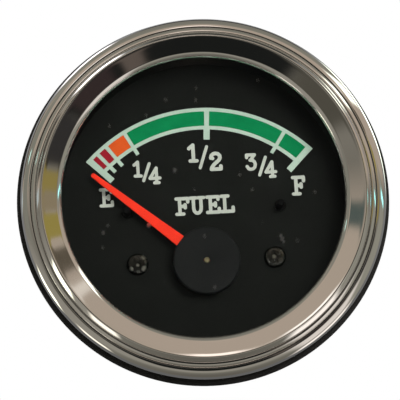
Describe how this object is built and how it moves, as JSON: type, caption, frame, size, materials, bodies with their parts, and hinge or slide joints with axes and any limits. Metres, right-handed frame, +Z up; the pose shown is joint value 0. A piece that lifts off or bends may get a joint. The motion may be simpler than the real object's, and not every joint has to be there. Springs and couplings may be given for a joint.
{
  "type": "panel fuel gauge",
  "caption": "Round panel fuel gauge with a chrome bezel, black dial, red needle, rear terminals, lamp holder and a U-shaped panel clamp.",
  "frame": {"origin": "on the gauge's axis, in the face of the panel that the rubber gasket lies against", "axes": "the dial looks along -Y, +Y runs back through the panel, +Z is up with the dial upright, +X is to the reader's right"},
  "size_m": [0.06, 0.0528, 0.06],
  "materials": {
    "bezel_chrome": "polished",
    "lens_glass": "clear, lightly dusty",
    "black_rubber": "matt",
    "black_nylon": "matt, moulded",
    "natural_nylon": "matt, moulded",
    "zinc_steel": "zinc plated and passivated",
    "dial_black": "satin paint",
    "ink_white": "matt ink",
    "ink_green": "matt ink",
    "ink_amber": "matt ink",
    "ink_red": "matt ink",
    "screw_black": "blackened, slightly shiny",
    "needle_red": "matt fluorescent paint",
    "cap_black": "fine matt grain",
    "brass": "turned",
    "tinned_brass": "tin plated",
    "copper": "enamelled winding wire",
    "ferrite": "ground ferrite",
    "shield_steel": "annealed",
    "spring_steel": "oiled black",
    "ruby": "polished",
    "phenolic": "pressed laminate",
    "ceramic": "glazed ceramic",
    "bulb_glass": "clear"
  },
  "bodies": {
    "gauge": {"bezel": "bezel_chrome", "glass": "lens_glass", "glass_gasket": "black_rubber", "spacer_ring": "black_nylon", "panel_gasket": "black_rubber", "case": "zinc_steel", "dial_plate": "dial_black", "scale_lines": "ink_white", "scale_green": "ink_green", "scale_amber": "ink_amber", "scale_red": "ink_red", "dial_screws": "screw_black", "stop_pins": "screw_black", "movement_frame": "black_nylon", "front_bush": "brass", "bobbin_front": "natural_nylon", "bobbin_rear": "natural_nylon", "coil_upright": "copper", "coil_level": "copper", "shield_tube": "shield_steel", "jewel": "ruby", "return_magnet": "ferrite", "base_plate": "phenolic", "link_strips": "brass", "resistor": "ceramic", "terminal_studs": "brass", "terminal_sleeves": "natural_nylon", "terminal_insulators": "black_nylon", "terminal_washers": "zinc_steel", "terminal_nuts": "brass", "ground_blade": "tinned_brass", "ground_rivet": "zinc_steel", "clamp_studs": "zinc_steel"},
    "needle_rotor": {"needle": "needle_red", "hub_cap": "cap_black", "spindle": "brass", "magnet": "ferrite"},
    "clamp": {"u_clamp": "zinc_steel", "spring_washers": "spring_steel"},
    "left_nut": {"thumb_nut_left": "brass"},
    "right_nut": {"thumb_nut_right": "brass"},
    "lamp": {"lamp_socket": "tinned_brass", "lamp_insulator": "phenolic", "lamp_blade": "tinned_brass", "bulb_base": "brass", "bulb_glass": "bulb_glass"}
  },
  "joints": [
    {"name": "needle_swing", "type": "hinge", "parent": "gauge", "child": "needle_rotor", "pos_m": [0, 0, -0.0099], "axis": [0, 1, 0], "range_deg": [0, 99.4]},
    {"name": "clamp_slide", "type": "slide", "parent": "gauge", "child": "clamp", "axis": [0, -1, 0], "range_m": [0, 0.0042]},
    {"name": "left_nut_turn", "type": "hinge", "parent": "clamp", "child": "left_nut", "pos_m": [-0.017, 0.04, 0], "axis": [0, -1, 0], "range_deg": [0, 2160]},
    {"name": "right_nut_turn", "type": "hinge", "parent": "clamp", "child": "right_nut", "pos_m": [0.017, 0.04, 0], "axis": [0, -1, 0], "range_deg": [0, 2160]},
    {"name": "lamp_pull", "type": "slide", "parent": "gauge", "child": "lamp", "axis": [0, 1, 0], "range_m": [0, 0.02]}
  ],
  "couplings": [
    {"joint": "left_nut_turn", "follows": "clamp_slide", "rad_per_m": 8976},
    {"joint": "right_nut_turn", "follows": "clamp_slide", "rad_per_m": 8976}
  ]
}
